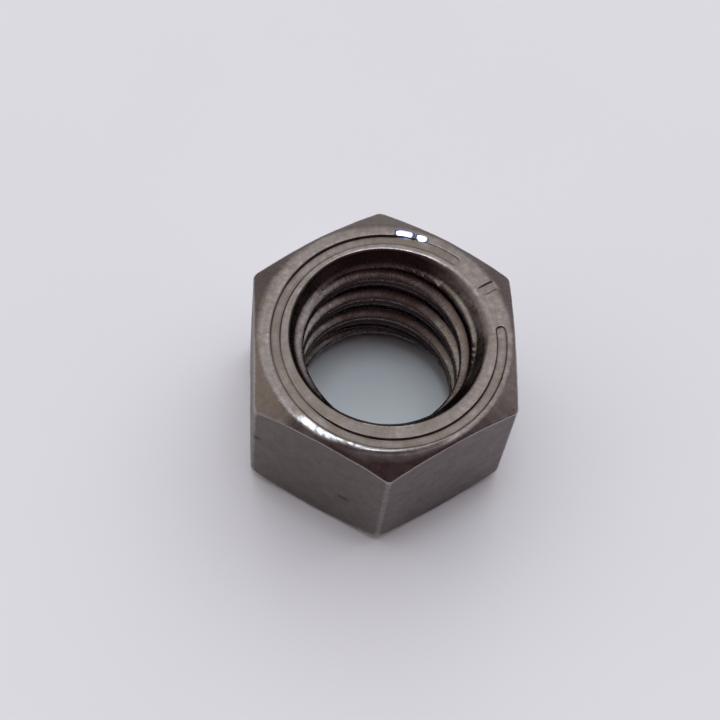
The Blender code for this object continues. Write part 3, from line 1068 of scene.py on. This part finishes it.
@dataclass
class Studio:
    """The pale floor, the soft light and the camera."""

    floor_size: float = 6.0
    floor_colour: Colour = (0.845, 0.862, 0.905)
    # Painted pool of light: the floor within these radii is lighter and bluer.
    pooled_light_colour: Colour = (0.89, 0.955, 0.995)
    pooled_light_full: float = 7.5
    pooled_light_end: float = 10.5
    dim: Colour = (0.092, 0.044, 0.054)
    backdrop: Colour = (0.70, 0.69, 0.73)
    camera_place: tuple[float, float, float] = (-15.094, -75.271, 166.298)
    camera_lens: float = 92.78
    camera_right: tuple[float, float, float] = (0.99708, -0.02509, 0.07211)
    camera_up: tuple[float, float, float] = (-0.00888, 0.89997, 0.43586)

    def lights(self) -> list[SoftLight]:
        """Return the soft lights: ceiling behind, both sides, low back and two small lamps overhead."""
        return [
            SoftLight((0.09, 0.47, 0.88), 35.0, 22.0, (1.0, 0.99, 0.985), 1.24),
            SoftLight((-0.86, 0.10, 0.50), 22.0, 24.0, (1.0, 0.98, 0.95), 0.72),
            SoftLight((0.86, 0.26, 0.44), 16.0, 22.0, (0.95, 0.96, 1.0), 0.50),
            SoftLight((0.05, 0.97, 0.22), 26.0, 24.0, (0.88, 0.94, 1.0), 0.40),
            SoftLight((-0.08, 0.07, 0.99), 5.5, 3.0, (0.82, 0.93, 1.0), 9.2),
            SoftLight((0.12, 0.06, 0.99), 6.5, 3.5, (0.82, 0.93, 1.0), 3.0),
        ]

    def floor(self) -> bpy.types.Object:
        """Make the pale floor and stage it."""
        half = self.floor_size / 2.0
        mesh = bpy.data.meshes.new("studio_floor")
        corners = [(-half, -half, 0.0), (half, -half, 0.0), (half, half, 0.0), (-half, half, 0.0)]
        mesh.from_pydata(corners, [], [(0, 1, 2, 3)])
        floor = bpy.data.objects.new("studio_floor", mesh)
        bpy.context.scene.collection.objects.link(floor)
        material = bpy.data.materials.new("pale_board")
        material.use_nodes = True
        material.node_tree.nodes.clear()
        w = Wiring(material.node_tree)
        place = w.millimetres()
        cloud = w.remap(w.noise(place, 0.03, 2.0), 0.3, 0.7)
        colour = w.mix(cloud, self.floor_colour, tuple(c * 0.985 for c in self.floor_colour))
        away = w.vector("LENGTH", place, out=1)
        # Painted pool of light on the floor under and inside the nut.
        colour = w.mix(w.remap(away, self.pooled_light_full, self.pooled_light_end, 1.0, 0.0), colour, self.pooled_light_colour)
        shader = w.node("ShaderNodeBsdfPrincipled")
        shader.inputs["Roughness"].default_value = 0.75
        shader.inputs["Specular IOR Level"].default_value = 0.2
        w.feed(shader.inputs["Base Color"], colour)
        w.tree.links.new(shader.outputs["BSDF"], w.node("ShaderNodeOutputMaterial").inputs["Surface"])
        mesh.materials.append(material)
        return floor

    def light(self) -> None:
        """Paint the surroundings with the soft lights."""
        world = bpy.data.worlds.new("soft_studio")
        bpy.context.scene.world = world
        world.use_nodes = True
        world.node_tree.nodes.clear()
        w = Wiring(world.node_tree)
        way = w.vector("NORMALIZE", w.node("ShaderNodeTexCoord").outputs["Generated"])
        total: object = self.dim
        for soft in self.lights():
            aim = Vector(soft.direction).normalized()
            facing = w.vector("DOT_PRODUCT", way, tuple(aim), out=1)
            edge = math.cos(math.radians(soft.half_angle + soft.fade))
            full = math.cos(math.radians(max(soft.half_angle - soft.fade, 0.0)))
            amount = w.remap(facing, edge, full, 0.0, soft.strength)
            total = w.mix(amount, total, soft.colour, "ADD")
            total.node.clamp_factor = False
        rays = w.node("ShaderNodeLightPath")
        total = w.mix(rays.outputs["Is Camera Ray"], total, self.backdrop)
        background = w.node("ShaderNodeBackground")
        w.feed(background.inputs["Color"], total)
        w.tree.links.new(background.outputs[0], w.node("ShaderNodeOutputWorld").inputs["Surface"])

    def camera(self) -> bpy.types.Object:
        """Make the camera above and in front of the nut, looking down at it."""
        data = bpy.data.cameras.new("studio_camera")
        data.lens, data.sensor_width, data.clip_start = self.camera_lens, 36.0, 0.005
        camera = bpy.data.objects.new("studio_camera", data)
        bpy.context.scene.collection.objects.link(camera)
        right, up = Vector(self.camera_right), Vector(self.camera_up)
        pose = Matrix((right, up, right.cross(up))).transposed().to_4x4()
        pose.translation = Vector(self.camera_place) * MM
        camera.matrix_world = pose
        bpy.context.scene.camera = camera
        return camera

    def build(self) -> None:
        """Set up the floor, light, camera and colour handling."""
        self.floor()
        self.light()
        self.camera()
        bpy.context.scene.view_settings.view_transform = "Standard"


def main() -> None:
    """Build the nut with its finishes, then the studio."""
    logging.basicConfig(level=logging.INFO, format="%(message)s")
    nut = HexNut().build()
    effects = SurfaceEffects()
    for region in Region:
        nut.data.materials.append(FINISHES[region].dress(effects))
    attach(nut, "root")
    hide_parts(CAD_NODE)
    LOG.info("%s: %d faces", nut.name, len(nut.data.polygons))
    Studio().build()


if __name__ == "__main__":
    main()
